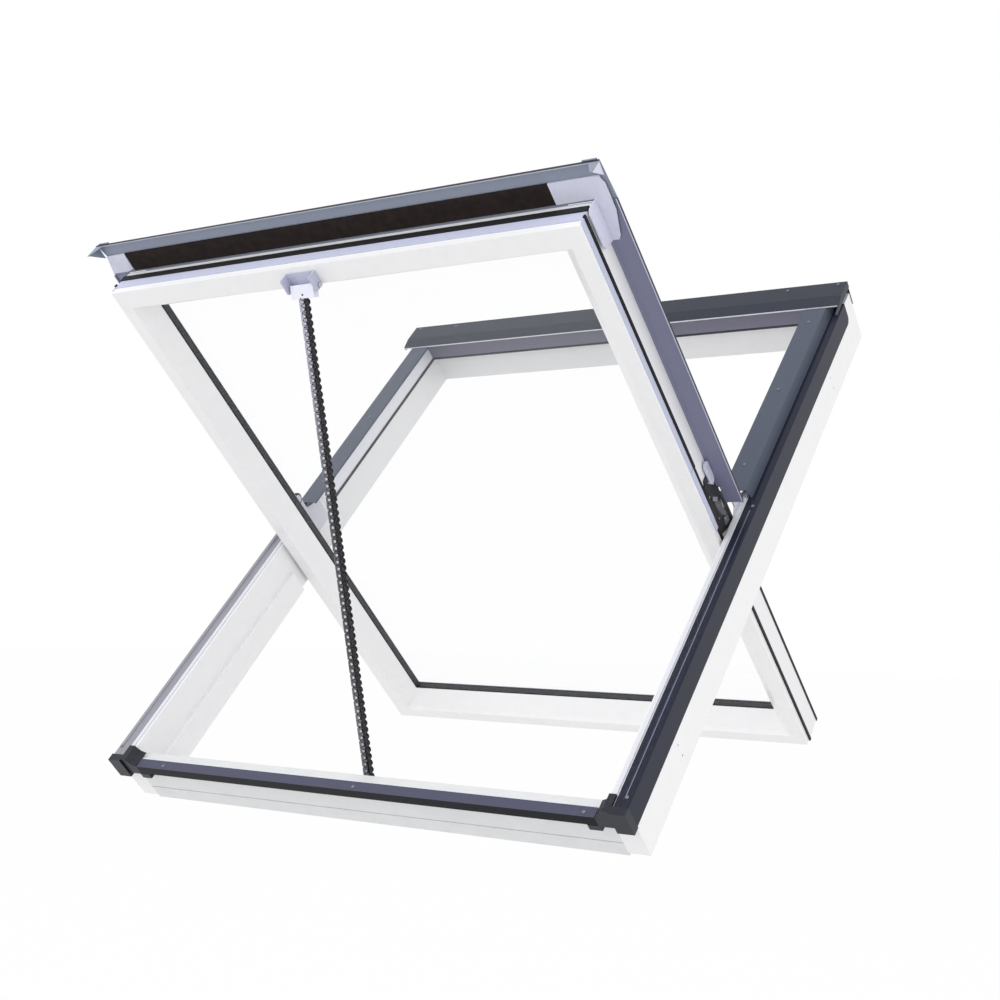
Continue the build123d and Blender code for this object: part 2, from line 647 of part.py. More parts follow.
# Glass unit: two panes and the spacer between them
glass_rect = (GLASS_X, GLASS_BOTTOM, GLASS_TOP)
for pane_name, pane_m in (("glass_inner_pane", GLASS_IN), ("glass_outer_pane", GLASS_OUT - PANE)):
    with BuildPart() as pane:
        pane_low, pane_high = (-GLASS_X, GLASS_BOTTOM), (GLASS_X, GLASS_TOP)
        slab(facing(SASH, pane_m), pane_low, pane_high, PANE)
    save(pane, pane_name)

with BuildPart() as spacer:
    spacer_hole = (GLASS_X - SPACER_WIDTH, GLASS_BOTTOM + SPACER_WIDTH, GLASS_TOP - SPACER_WIDTH)
    ring(facing(SASH, GLASS_IN + PANE), glass_rect, spacer_hole, CAVITY)
save(spacer, "glass_spacer")

# Seals under and over the glass
with BuildPart() as glazing_seal:
    seal_hole = (LIP_X - SEAL_SHOW, LIP_BOTTOM + SEAL_SHOW, LIP_TOP - SEAL_SHOW)
    ring(facing(SASH, LIP_OUT), (REBATE_X, REBATE_BOTTOM, REBATE_TOP), seal_hole, GLAZING_SEAL)
save(glazing_seal, "glazing_seal_inner")

with BuildPart() as outer_seal:
    outer_hole = (CLAD_X, CLAD_BELOW, CLAD_ABOVE)
    outer_depth = SASH_FACE_OUT - GLASS_OUT
    ring(facing(SASH, GLASS_OUT), (REBATE_X, REBATE_BOTTOM, REBATE_TOP), outer_hole, outer_depth)
save(outer_seal, "glazing_seal_outer")

# Covers on the outside of the sash, above the pivot
CLAD_EDGE = SASH_HALF - 4.0
with BuildPart() as sash_top_clad:
    top_clad_low = (-CLAD_EDGE, CLAD_ABOVE)
    slab(facing(SASH, SASH_FACE_OUT), top_clad_low, (CLAD_EDGE, SASH_TOP - 4.0), CLAD)
save(sash_top_clad, "sash_top_cladding")

for side, sign in SIDES:
    with BuildPart() as upper_clad:
        upper_low, upper_high = (sign * CLAD_X, SIDE_FLANGE_END), (sign * CLAD_EDGE, CLAD_ABOVE)
        slab(facing(SASH, SASH_FACE_OUT), upper_low, upper_high, CLAD)
    save(upper_clad, f"sash_upper_cladding_{side}")

# Covers on the outside of the sash below the pivot, reaching out over the frame
sash_path = [
    (CLAD_X, CLAD_TOP),
    (SASH_HALF - 2, CLAD_TOP),
    (SASH_HALF + 3, FLANGE_TOP),
    (FLANGE_X, FLANGE_TOP),
    (FLANGE_X, FLANGE_TOP - SIDE_FLANGE_LIP),
]
for side, sign in SIDES:
    with BuildPart() as side_flange:
        flange_length = SIDE_FLANGE_END - SASH_BOTTOM
        sided_sheet(across(SASH, SIDE_FLANGE_END), sign, sash_path, CLAD, flange_length)
        notch_low = (sign * (SASH_HALF - 1), -HINGE_NOTCH_END)
        notch_high = (sign * (SASH_HALF + HINGE_NOTCH_WIDTH), SIDE_FLANGE_END)
        slab(facing(SASH, FLANGE_TOP - 8), notch_low, notch_high, 10, Mode.SUBTRACT)
    save(side_flange, f"sash_side_cover_{side}")

# Cover on the sash bottom rail, reaching down over the lower frame member
with BuildPart() as sash_bottom_cover:
    bottom_clad_low = (-CLAD_X, SASH_BOTTOM)
    slab(facing(SASH, SASH_FACE_OUT), bottom_clad_low, (CLAD_X, CLAD_BELOW), CLAD)
    step = [
        (SASH_BOTTOM + 1, SASH_FACE_OUT),
        (SASH_BOTTOM + 1, CLAD_TOP),
        (SASH_BOTTOM - 3, FLANGE_TOP),
        (SASH_BOTTOM - 8, FLANGE_TOP),
        (SASH_BOTTOM - 8, FLANGE_UNDER),
        (SASH_BOTTOM - 3, FLANGE_UNDER),
    ]
    prism(along(SASH, -CLAD_X), step, 2 * CLAD_X)
    apron = [
        (-FLANGE_X + 12, SASH_BOTTOM - 44),
        (-FLANGE_X, SASH_BOTTOM - 0.5),
        (-CLAD_X, SASH_BOTTOM - 0.5),
        (-CLAD_X, SASH_BOTTOM - 4),
        (CLAD_X, SASH_BOTTOM - 4),
        (CLAD_X, SASH_BOTTOM - 0.5),
        (FLANGE_X, SASH_BOTTOM - 0.5),
        (FLANGE_X - 4, FLANGE_BOTTOM),
        (-FLANGE_X + 4, FLANGE_BOTTOM),
    ]
    prism(facing(SASH, FLANGE_UNDER), apron, CLAD)
    lip_low = (-FLANGE_X + 4, FLANGE_TOP - BOTTOM_FLANGE_LIP)
    slab(across(SASH, FLANGE_BOTTOM + CLAD), lip_low, (FLANGE_X - 4, FLANGE_TOP), CLAD)
    for side, sign in SIDES:
        tab = [
            (sign * (FLANGE_X - 4), FLANGE_TOP),
            (sign * (FLANGE_X - 4), FLANGE_TOP - 35),
            (sign * (FLANGE_X - 8), FLANGE_TOP - 35),
            (sign * (FLANGE_X - 22), FLANGE_TOP - BOTTOM_FLANGE_LIP),
            (sign * (FLANGE_X - 22), FLANGE_TOP),
        ]
        prism(across(SASH, FLANGE_BOTTOM + CLAD), tab, CLAD)
save(sash_bottom_cover, "sash_bottom_cover")

# Dark panel under the sash bottom cover and the corner pieces beside it
PANEL_LEFT = PANEL_LEFT_IN - SASH_HALF
PANEL_RIGHT = SASH_HALF - PANEL_RIGHT_IN
PANEL_END = FLANGE_BOTTOM + BOTTOM_FLANGE_BAND
with BuildPart() as panel:
    panel_plane = facing(SASH, FLANGE_UNDER - PANEL_THICK)
    slab(panel_plane, (PANEL_LEFT, PANEL_END), (PANEL_RIGHT, SASH_BOTTOM - 5), PANEL_THICK)
save(panel, "insulation_panel")

with BuildPart() as corner_left:
    left_outline = [
        (-SASH_HALF - CORNER_REACH, PANEL_END),
        (PANEL_LEFT - 0.5, PANEL_END),
        (PANEL_LEFT - 3, SASH_BOTTOM - 9),
        (PANEL_LEFT - 18, SASH_BOTTOM - 5),
        (3 - FLANGE_X, SASH_BOTTOM - 5),
    ]
    prism(panel_plane, left_outline, PANEL_THICK)
save(corner_left, "corner_piece_left")

# The right hand piece also wraps down the side of the stile
WRAP_X = SASH_HALF + LOWER_SEAL_STAND + 0.3
WRAP_TOP = SASH_BOTTOM + WRAP_LONG
WRAP_DEEP = SASH_FACE_OUT - CORNER_PART
with BuildPart() as corner_right:
    corner_high = (SASH_HALF + CORNER_REACH, SASH_BOTTOM - 5)
    slab(panel_plane, (PANEL_RIGHT + 0.5, PANEL_END), corner_high, PANEL_THICK)
    slab(panel_plane, (WRAP_X, SASH_BOTTOM - 6), (WRAP_X + 14, WRAP_TOP), PANEL_THICK)
    wrap = [
        (SASH_BOTTOM - 5, FLANGE_UNDER),
        (SASH_BOTTOM - 5, WRAP_DEEP + 8),
        (SASH_BOTTOM + 3, WRAP_DEEP),
        (WRAP_TOP - 11, WRAP_DEEP),
        (WRAP_TOP - 3, WRAP_DEEP + 8),
        (WRAP_TOP, FLANGE_UNDER - PANEL_THICK),
        (WRAP_TOP, FLANGE_UNDER),
    ]
    prism(along(SASH, WRAP_X), wrap, 2)
save(corner_right, "corner_piece_right")

# Lavender trim and dark seal around the lower half of the sash
STILE_TRIM_IN = SASH_FACE_IN + 7
STILE_TRIM_OUT = STILE_TRIM_IN + 12
LOWER_SEAL_OUT = STILE_TRIM_OUT + LOWER_SEAL_WIDE
RAIL_TRIM_IN = SASH_FACE_IN + 15
RAIL_TRIM_OUT = RAIL_TRIM_IN + 22
RAIL_SEAL_OUT = RAIL_TRIM_OUT + RAIL_SEAL_WIDE
with BuildPart() as lower_trim:
    trim_across = across(SASH, SASH_BOTTOM)
    slab(trim_across, (-SASH_HALF, RAIL_TRIM_IN), (SASH_HALF, RAIL_TRIM_OUT), TRIM_THICK)
    for side, sign in SIDES:
        trim_low = (sign * SASH_HALF, STILE_TRIM_IN)
        trim_high = (sign * (SASH_HALF + TRIM_THICK), STILE_TRIM_OUT)
        trim_length = -SEAL_END - SASH_BOTTOM + TRIM_THICK
        slab(across(SASH, -SEAL_END), trim_low, trim_high, trim_length)
save(lower_trim, "sash_lower_trim")

with BuildPart() as lower_seal:
    seal_across = across(SASH, SASH_BOTTOM)
    slab(seal_across, (-SASH_HALF, RAIL_TRIM_OUT), (SASH_HALF, RAIL_SEAL_OUT), LOWER_SEAL_STAND)
    for side, sign in SIDES:
        seal_low = (sign * SASH_HALF, STILE_TRIM_OUT)
        seal_high = (sign * (SASH_HALF + LOWER_SEAL_STAND), LOWER_SEAL_OUT)
        seal_length = -SEAL_END - SASH_BOTTOM + LOWER_SEAL_STAND
        slab(across(SASH, -SEAL_END), seal_low, seal_high, seal_length)
save(lower_seal, "sash_lower_seal")

# Seals and trim around the upper half of the sash
UPPER_START = 20.0
UPPER_IN = SASH_FACE_IN + UPPER_SEAL_FROM_FACE
UPPER_OUT = UPPER_IN + UPPER_SEAL_WIDE
with BuildPart() as upper_seal:
    arch_top = SASH_TOP + UPPER_SEAL_STAND
    arch_half = SASH_HALF + UPPER_SEAL_STAND
    inner_plane, outer_plane = facing(SASH, UPPER_IN), facing(SASH, SASH_FACE_OUT)
    arch(inner_plane, UPPER_START, arch_half, arch_top, UPPER_SEAL_STAND, UPPER_SEAL_WIDE)
    outer_thick = UPPER_SEAL_STAND + SASH_HALF - CLAD_EDGE
    arch(outer_plane, UPPER_START, arch_half, arch_top, outer_thick, UPPER_SEAL_WIDE)
save(upper_seal, "sash_upper_seal")

with BuildPart() as upper_trim:
    trim_high_s = SASH_TOP + TRIM_THICK
    trim_depth = SASH_FACE_OUT - UPPER_OUT
    trim_half = SASH_HALF + TRIM_THICK
    arch(facing(SASH, UPPER_OUT), UPPER_START, trim_half, trim_high_s, TRIM_THICK, trim_depth)
save(upper_trim, "sash_upper_trim")

# Bracket for the chain on the sash, with two cheeks that carry the pin
BRACKET_LOW = PIN_Q - 26.4
BRACKET_TOP = BRACKET_LOW + BRACKET_LONG
BRACKET_M = SASH_FACE_IN - BRACKET_DEEP
with BuildPart() as chain_bracket:
    base_low = (CHAIN_X - BRACKET_WIDE / 2, BRACKET_LOW)
    base_high = (CHAIN_X + BRACKET_WIDE / 2, BRACKET_TOP)
    slab(facing(SASH, SASH_FACE_IN - BRACKET_SHEET), base_low, base_high, BRACKET_SHEET)
    cheek = [
        (BRACKET_LOW, SASH_FACE_IN - BRACKET_SHEET / 2),
        (BRACKET_LOW, BRACKET_M + 2),
        (BRACKET_LOW + 2, BRACKET_M),
        (BRACKET_TOP - 3, BRACKET_M),
        (BRACKET_TOP, BRACKET_M + 3),
        (BRACKET_TOP, SASH_FACE_IN - BRACKET_SHEET / 2),
    ]
    for cheek_x in (CHAIN_X - BRACKET_WIDE / 2, CHAIN_X + BRACKET_WIDE / 2 - BRACKET_SHEET):
        prism(along(SASH, cheek_x), cheek, BRACKET_SHEET)
    bore_radius = HEAD_PIN_R + RUN_CLEAR
    bore_plane = along(SASH, CHAIN_X - BRACKET_WIDE / 2)
    rod(bore_plane, (PIN_Q, PIN_M), bore_radius, BRACKET_WIDE, Mode.SUBTRACT)
save(chain_bracket, "chain_bracket")

with BuildPart() as bracket_screws:
    for screw_x in (CHAIN_X - 20, CHAIN_X + 20):
        for screw_q in (BRACKET_LOW + 6, BRACKET_LOW + 15):
            rod(facing(SASH, SASH_FACE_IN - BRACKET_SHEET), (screw_x, screw_q), 2.5, -1.2)
save(bracket_screws, "bracket_screws")

# Pin and end block at the head of the chain
with BuildPart() as chain_pin:
    pin_start = CHAIN_X - BRACKET_WIDE / 2 - 1.0
    rod(along(SASH, pin_start), (PIN_Q, PIN_M), HEAD_PIN_R, BRACKET_WIDE + 2.0)
    for pin_head_x in (pin_start - 2.0, CHAIN_X + BRACKET_WIDE / 2 + 1.0):
        rod(along(SASH, pin_head_x), (PIN_Q, PIN_M), HEAD_PIN_HEAD_R, 2.0)
save(chain_pin, "chain_pin")

HEAD_AHEAD = 4.5
CHAIN_START = HEAD_LONG - HEAD_AHEAD
with BuildPart() as end_block:
    block_low, block_high = (-HEAD_WIDE / 2, -HEAD_AHEAD), (HEAD_WIDE / 2, CHAIN_START)
    slab(facing(CHAIN, -HEAD_FRONT), block_low, block_high, HEAD_FRONT + HEAD_BACK)
    rod(along(CHAIN, -HEAD_WIDE / 2), (0, 0), HEAD_PIN_R, HEAD_WIDE, Mode.SUBTRACT)
save(end_block, "chain_end_block")

# Push chain, pushed out straight from the drive; one lobe to a link on the side it leans on
LINK_COUNT = int((CHAIN_REACH + 6 - CHAIN_START) / PITCH)
with BuildPart() as chain:
    chain_outline = [(-LINK_BACK, CHAIN_START)]
    for link in range(LINK_COUNT):
        link_start = CHAIN_START + link * PITCH
        chain_outline.append((LOBE_OUT, link_start))
        chain_outline.append((LOBE_OUT + LOBE_RADIUS, link_start + 3.5))
        chain_outline.append((LOBE_OUT + LOBE_RADIUS, link_start + 9.2))
    chain_outline.append((LOBE_OUT, CHAIN_START + LINK_COUNT * PITCH))
    chain_outline.append((-LINK_BACK, CHAIN_START + LINK_COUNT * PITCH))
    prism(facing(CHAIN, CHAIN_OFFSET - CHAIN_THICK / 2), chain_outline, CHAIN_THICK)
save(chain, "chain")

# Guide the chain comes out of; it swings between two ears on the drive
GUIDE_AHEAD = 7.0
with BuildPart() as guide:
    guide_low = (-GUIDE_WIDE / 2, -GUIDE_AHEAD)
    guide_high = (GUIDE_WIDE / 2, GUIDE_LONG - GUIDE_AHEAD + 4)
    slab(facing(EXIT, CHAIN_OFFSET - GUIDE_THICK / 2), guide_low, guide_high, GUIDE_THICK)
    throat_low = (-LINK_BACK - LINK_GAP, CHAIN_OFFSET - CHAIN_THICK / 2 - LINK_GAP)
    throat_high = (LOBE_OUT + LOBE_RADIUS + LINK_GAP, CHAIN_OFFSET + CHAIN_THICK / 2 + LINK_GAP)
    throat = across(EXIT, GUIDE_LONG - GUIDE_AHEAD + 4)
    slab(throat, throat_low, throat_high, GUIDE_LONG + 4, Mode.SUBTRACT)
    for side, sign in SIDES:
        rod(along(EXIT, sign * GUIDE_WIDE / 2), (0, 0), TRUNNION_R, sign * (EAR_GAP + EAR_PLATE))
save(guide, "chain_guide")

# Drive housing behind the lower frame member, its end caps and the ears for the guide
DRIVE_TOP = BACK + 36.0
DRIVE_NEAR = BOTTOM_INNER + 21.0
DRIVE_LEFT = CHAIN_X - ACTUATOR_SHARE * ACTUATOR_LONG
with BuildPart() as drive:
    drive_low = (BOTTOM_INNER, DRIVE_TOP - ACTUATOR_DEEP)
    drive_high = (DRIVE_NEAR, DRIVE_TOP)
    slab(along(FRAME, DRIVE_LEFT), drive_low, drive_high, ACTUATOR_LONG)
save(drive, "drive_housing")

for cap_name, cap_x in (("left", DRIVE_LEFT - END_CAP), ("right", DRIVE_LEFT + ACTUATOR_LONG)):
    with BuildPart() as drive_cap:
        slab(along(FRAME, cap_x), drive_low, drive_high, END_CAP)
        cap_edges = drive_cap.edges().filter_by(Axis.X)
        fillet(cap_edges, radius=3.0)
    save(drive_cap, f"drive_end_cap_{cap_name}")

with BuildPart() as ears:
    ear_back = DRIVE_NEAR
    for side, sign in SIDES:
        ear_x = CHAIN_X + sign * (GUIDE_WIDE / 2 + EAR_GAP)
        ear_outline = [
            (ear_back, EXIT_N - 12),
            (EXIT_S + 3, EXIT_N - 12),
            (EXIT_S + 8, EXIT_N - 5),
            (EXIT_S + 8, EXIT_N + 5),
            (EXIT_S + 3, EXIT_N + 8),
            (ear_back, EXIT_N + 8),
        ]
        prism(along(FRAME, ear_x), ear_outline, sign * EAR_PLATE)
        bore = TRUNNION_R + RUN_CLEAR
        rod(along(FRAME, ear_x), (EXIT_S, EXIT_N), bore, sign * EAR_PLATE, Mode.SUBTRACT)
save(ears, "guide_ears")
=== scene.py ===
import math

import bpy
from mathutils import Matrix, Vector


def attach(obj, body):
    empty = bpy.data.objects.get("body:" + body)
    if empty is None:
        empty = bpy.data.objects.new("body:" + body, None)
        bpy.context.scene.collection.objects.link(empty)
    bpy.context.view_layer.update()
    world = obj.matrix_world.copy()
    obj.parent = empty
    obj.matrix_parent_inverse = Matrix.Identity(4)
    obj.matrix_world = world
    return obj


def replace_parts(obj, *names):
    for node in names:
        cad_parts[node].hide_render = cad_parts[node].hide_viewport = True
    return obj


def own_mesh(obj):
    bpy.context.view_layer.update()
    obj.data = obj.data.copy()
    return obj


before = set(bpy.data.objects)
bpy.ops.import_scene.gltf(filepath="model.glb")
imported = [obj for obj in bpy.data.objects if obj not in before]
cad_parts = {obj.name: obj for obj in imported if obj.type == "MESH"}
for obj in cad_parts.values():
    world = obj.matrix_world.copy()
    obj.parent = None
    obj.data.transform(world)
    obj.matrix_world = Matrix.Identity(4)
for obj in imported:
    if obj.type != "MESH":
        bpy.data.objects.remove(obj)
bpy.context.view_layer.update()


def srgb(r, g, b):
    """Linear colour from 8 bit sRGB numbers."""
    out = []
    for value in (r, g, b):
        c = value / 255.0
        out.append(c / 12.92 if c <= 0.04045 else ((c + 0.055) / 1.055) ** 2.4)
    return (out[0], out[1], out[2], 1.0)


def material(name, colour, rough=0.5, metal=0.0, spec=0.5, grain=0.0, grain_scale=300.0, bump=0.0, alpha=1.0):
    """Principled material; grain varies the colour a little and bump the surface, both from noise."""
    mat = bpy.data.materials.new(name)
    mat.use_nodes = True
    nodes, links = mat.node_tree.nodes, mat.node_tree.links
    shader = nodes["Principled BSDF"]
    shader.inputs["Base Color"].default_value = colour
    shader.inputs["Roughness"].default_value = rough
    shader.inputs["Metallic"].default_value = metal
    shader.inputs["Specular IOR Level"].default_value = spec
    shader.inputs["Alpha"].default_value = alpha
    if grain > 0 or bump > 0:
        coord = nodes.new("ShaderNodeTexCoord")
        noise = nodes.new("ShaderNodeTexNoise")
        noise.inputs["Scale"].default_value = grain_scale
        noise.inputs["Detail"].default_value = 3.0
        links.new(coord.outputs["Object"], noise.inputs["Vector"])
        if grain > 0:
            ramp = nodes.new("ShaderNodeValToRGB")
            ramp.color_ramp.elements[0].position = 0.3
            ramp.color_ramp.elements[1].position = 0.7
            ramp.color_ramp.elements[0].color = [c * (1 - grain) for c in colour[:3]] + [1.0]
            ramp.color_ramp.elements[1].color = [min(c * (1 + grain), 1.0) for c in colour[:3]] + [1.0]
            links.new(noise.outputs["Fac"], ramp.inputs["Fac"])
            links.new(ramp.outputs["Color"], shader.inputs["Base Color"])
        if bump > 0:
            height = nodes.new("ShaderNodeBump")
            height.inputs["Strength"].default_value = bump
            height.inputs["Distance"].default_value = 0.0005
            links.new(noise.outputs["Fac"], height.inputs["Height"])
            links.new(height.outputs["Normal"], shader.inputs["Normal"])
    return mat


white = material("white lacquer", (0.86, 0.86, 0.87, 1), 0.35, grain=0.012, grain_scale=40, bump=0.03)
# Painted shade: a darker copy of the white lacquer for the bottom frame member, whose front faces down, away
# from the light.
painted_shade_white = material("shaded lacquer", srgb(218, 220, 222), 0.4, grain=0.03, grain_scale=25, bump=0.03)
side_sheet = material("side sheet", srgb(36, 39, 54), 0.4, spec=0.15, grain=0.04, grain_scale=500)
# Painted reflection: the left side cover takes a light grey in place of the dark side cover grey, for the
# bright reflection it shows at a grazing angle.
painted_reflection_left_sheet = material("left side sheet", srgb(142, 142, 150), 0.3, spec=0.5, grain=0.04, grain_scale=500)
# Painted shade: the bottom cover's colour comes from the Z of its object-space normal. Faces that point level
# or down, such as its front, are near black, and faces turned up are a lighter grey.
painted_shade_bottom_sheet = material("bottom sheet", srgb(88, 88, 112), 0.4, spec=0.1)
sheet_nodes, sheet_links = painted_shade_bottom_sheet.node_tree.nodes, painted_shade_bottom_sheet.node_tree.links
sheet_coord = sheet_nodes.new("ShaderNodeTexCoord")
sheet_split = sheet_nodes.new("ShaderNodeSeparateXYZ")
sheet_shade_by_normal = sheet_nodes.new("ShaderNodeValToRGB")
sheet_shade_by_normal.color_ramp.elements[0].position = 0.0
sheet_shade_by_normal.color_ramp.elements[1].position = 0.3
sheet_shade_by_normal.color_ramp.elements[0].color = srgb(12, 13, 20)
sheet_shade_by_normal.color_ramp.elements[1].color = srgb(80, 81, 100)
sheet_links.new(sheet_coord.outputs["Normal"], sheet_split.inputs["Vector"])
sheet_links.new(sheet_split.outputs["Z"], sheet_shade_by_normal.inputs["Fac"])
sheet_links.new(sheet_shade_by_normal.outputs["Color"], sheet_nodes["Principled BSDF"].inputs["Base Color"])
cap_sheet = material("cap plastic", srgb(28, 30, 42), 0.35, spec=0.3, grain=0.08, grain_scale=200)
# Painted light and shade: the top cover takes a darker copy and the upper side cover plates a lighter copy of
# one cover grey.
top_sheet_painted_shade = material("top sheet", srgb(46, 50, 62), 0.45, spec=0.25, grain=0.03, grain_scale=600)
grey_sheet_painted_light = material("grey sheet", srgb(74, 81, 97), 0.45, spec=0.3, grain=0.03, grain_scale=600)
# Painted reflection: the sash covers, the sash's bottom cover and the frame's top lining take lavender greys
# much lighter than the frame's covers, for the pale floor they face and reflect.
sash_sheet_painted_reflection = material("sash sheet", srgb(122, 124, 150), 0.42, grain=0.03, grain_scale=300)
flange_sheet_painted_reflection = material("flange sheet", srgb(132, 140, 158), 0.42, grain=0.03, grain_scale=300)
lining = material("lining sheet", srgb(124, 122, 140), 0.5, grain=0.03, grain_scale=200)
pale_lining = material("pale lining", srgb(240, 240, 247), 0.5, grain=0.01, grain_scale=400)
seal = material("black seal", srgb(22, 22, 25), 0.6, spec=0.3, grain=0.15, grain_scale=200)
grey_seal = material("grey seal", srgb(62, 62, 70), 0.6, spec=0.3, grain=0.1, grain_scale=200)
edge_highlight_grey = material("edge grey", srgb(176, 178, 192), 0.45, grain=0.03, grain_scale=120)
lavender = material("lavender trim", srgb(194, 198, 220), 0.5, grain=0.03, grain_scale=120)
pale_strip = material("pale strip", srgb(214, 215, 224), 0.5, grain=0.02, grain_scale=200)
white_trim = material("white trim", srgb(236, 236, 238), 0.5, grain=0.01, grain_scale=200)
light_plastic = material("light plastic", srgb(208, 209, 226), 0.45, grain=0.03, grain_scale=150)
bracket_sheet = material("bracket sheet", srgb(186, 188, 208), 0.4, grain=0.04, grain_scale=200)
block_paint = material("end block", srgb(224, 225, 238), 0.4, grain=0.02, grain_scale=200)
brown = material("brown panel", srgb(33, 25, 22), 0.75, spec=0.2, grain=0.35, grain_scale=60)
dark_plastic = material("dark plastic", srgb(44, 45, 50), 0.45, grain=0.08, grain_scale=300)
hinge_black = material("hinge black", srgb(20, 20, 22), 0.5, grain=0.15, grain_scale=300)
steel = material("bright steel", srgb(200, 200, 202), 0.3, 0.7, grain=0.08, grain_scale=500)
dull_steel = material("dull steel", srgb(122, 122, 126), 0.38, 0.6, grain=0.3, grain_scale=220, bump=0.4)
screw_paint = material("screw paint", srgb(112, 114, 122), 0.5, grain=0.05, grain_scale=500)
dark_steel = material("dark steel", srgb(44, 44, 48), 0.38, 0.5, grain=0.25, grain_scale=260)
rivet_steel = material("rivet steel", srgb(196, 196, 202), 0.25, 0.5, grain=0.05, grain_scale=500)
drive_metal = material("drive metal", srgb(160, 162, 170), 0.4, 0.6, grain=0.03, grain_scale=500)
spacer_metal = material("spacer metal", srgb(36, 36, 40), 0.5, 0.0, grain=0.03, grain_scale=500)
glass = material("clear glass", (0.9, 0.95, 0.95, 1), 0.05, spec=0.5, grain=0.01, grain_scale=5, alpha=0.015)
# Painted light and shade on the push chain's side plates: their colour follows height. They are grey near the
# foot, darker through the middle, and carry a light highlight towards the top.
link_steel_painted_light = material("link steel", srgb(120, 120, 126), 0.4, 0.2)
link_nodes, link_links = link_steel_painted_light.node_tree.nodes, link_steel_painted_light.node_tree.links
link_coord = link_nodes.new("ShaderNodeTexCoord")
link_split = link_nodes.new("ShaderNodeSeparateXYZ")
link_light_ramp = link_nodes.new("ShaderNodeValToRGB")
LINK_LIGHT_TONES = (
    (0.08, (128, 128, 130)),
    (0.3, (80, 80, 84)),
    (0.55, (90, 90, 95)),
    (0.85, (166, 166, 182)),
)
for _ in range(len(LINK_LIGHT_TONES) - 2):
    link_light_ramp.color_ramp.elements.new(0.5)
for element, (spot, value) in zip(link_light_ramp.color_ramp.elements, LINK_LIGHT_TONES):
    element.position = spot
    element.color = srgb(*value)
link_links.new(link_coord.outputs["Object"], link_split.inputs["Vector"])
link_links.new(link_split.outputs["Z"], link_light_ramp.inputs["Fac"])
link_links.new(link_light_ramp.outputs["Color"], link_nodes["Principled BSDF"].inputs["Base Color"])

LOOKS = (
    (("frame_bottom",), painted_shade_white),
    (("frame_side", "frame_top", "sash_stile", "sash_top_rail", "sash_bottom_rail"), white),
    (("sash_bottom_cover",), flange_sheet_painted_reflection),
    (("sash_side_cover", "sash_top_clad", "sash_upper_clad"), sash_sheet_painted_reflection),
    (("side_cover_left",), painted_reflection_left_sheet),
    (("corner_cap",), cap_sheet),
    (("side_cover",), side_sheet),
    (("bottom_cover",), painted_shade_bottom_sheet),
    (("top_cover",), top_sheet_painted_shade),
    (("upper_cover",), grey_sheet_painted_light),
    (("top_lining",), lining),
    (("side_lining",), pale_lining),
    (("glass_spacer",), spacer_metal),
    (("glass_",), glass),
    (("frame_seal",), grey_seal),
    (("glazing", "sash_lower_seal", "sash_upper_seal"), seal),
    (("light_strip",), pale_strip),
    (("sash_upper_trim",), white_trim),
    (("sash_lower_trim",), lavender),
    (("chain_end_block",), block_paint),
    (("chain_bracket", "bracket_screws"), bracket_sheet),
    (("corner_piece", "hinge_cap"), light_plastic),
    (("insulation",), brown),
    (("hinge_frame",), pale_strip),
    (("hinge_sash", "drive_end_cap"), dark_plastic),
    (("drive_housing", "guide_ears"), drive_metal),
    (("cover_screws",), screw_paint),
    (("chain_pin",), steel),
    (("chain", "chain_guide"), dark_steel),
    (("",), steel),
)


def dress(obj, mat):
    """Give an object one material."""
    obj.data.materials.clear()
    obj.data.materials.append(mat)


for node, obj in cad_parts.items():
    for prefixes, mat in LOOKS:
        if node.startswith(prefixes):
            dress(obj, mat)
            break

# Where things are: the window's own axes in millimetres, turned into the row's frame in metres
C45 = math.sqrt(0.5)
PIVOT_Y, PIVOT_Z = 394.566, 609.526
OPEN = math.radians(87.0)
PIN_Q, PIN_M = -621.6, -114.0
EXIT_S, EXIT_N = -613.908, -150.0


def frame_point(x, s, n):
    """Point of the frame from x, s up the slope and n out of the roof."""
    return Vector((x, (s - n) * C45 + PIVOT_Y, (s + n) * C45 + PIVOT_Z)) * 0.001


def sash_point(x, q, m):
    """Point of the open sash from its own q and m."""
    s = q * math.cos(OPEN) + m * math.sin(OPEN)
    return frame_point(x, s, m * math.cos(OPEN) - q * math.sin(OPEN))


def piece(name, verts, faces, mats, body, face_mats=None):
    """Mesh object that rides on a body."""
    mesh = bpy.data.meshes.new(name)
    mesh.from_pydata([tuple(v) for v in verts], [], faces)
    for mat in mats:
        mesh.materials.append(mat)
    if face_mats:
        mesh.polygons.foreach_set("material_index", face_mats)
    mesh.update()
    obj = bpy.data.objects.new(name, mesh)
    bpy.context.scene.collection.objects.link(obj)
    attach(obj, body)
    return obj


def add_prism(verts, faces, lower, upper):
    """Add a prism between two like outlines, given as lists of points."""
    base, count = len(verts), len(lower)
    verts.extend(lower)
    verts.extend(upper)
    faces.append(tuple(range(base + count - 1, base - 1, -1)))
    faces.append(tuple(range(base + count, base + 2 * count)))
    for k in range(count):
        after = (k + 1) % count
        faces.append((base + k, base + after, base + count + after, base + count + k))


def plate(name, point, outline, x0, x1, mat, body):
    """Plate square to x, from its outline in the two other axes."""
    verts, faces = [], []
    add_prism(verts, faces, [point(x0, a, b) for a, b in outline], [point(x1, a, b) for a, b in outline])
    return piece(name, verts, faces, [mat], body)


def bar(name, point, low, high, mat, body):
    """Straight bar between two corners given as x and the two other axes."""
    (x0, a0, b0), (x1, a1, b1) = low, high
    return plate(name, point, [(a0, b0), (a1, b0), (a1, b1), (a0, b1)], x0, x1, mat, body)


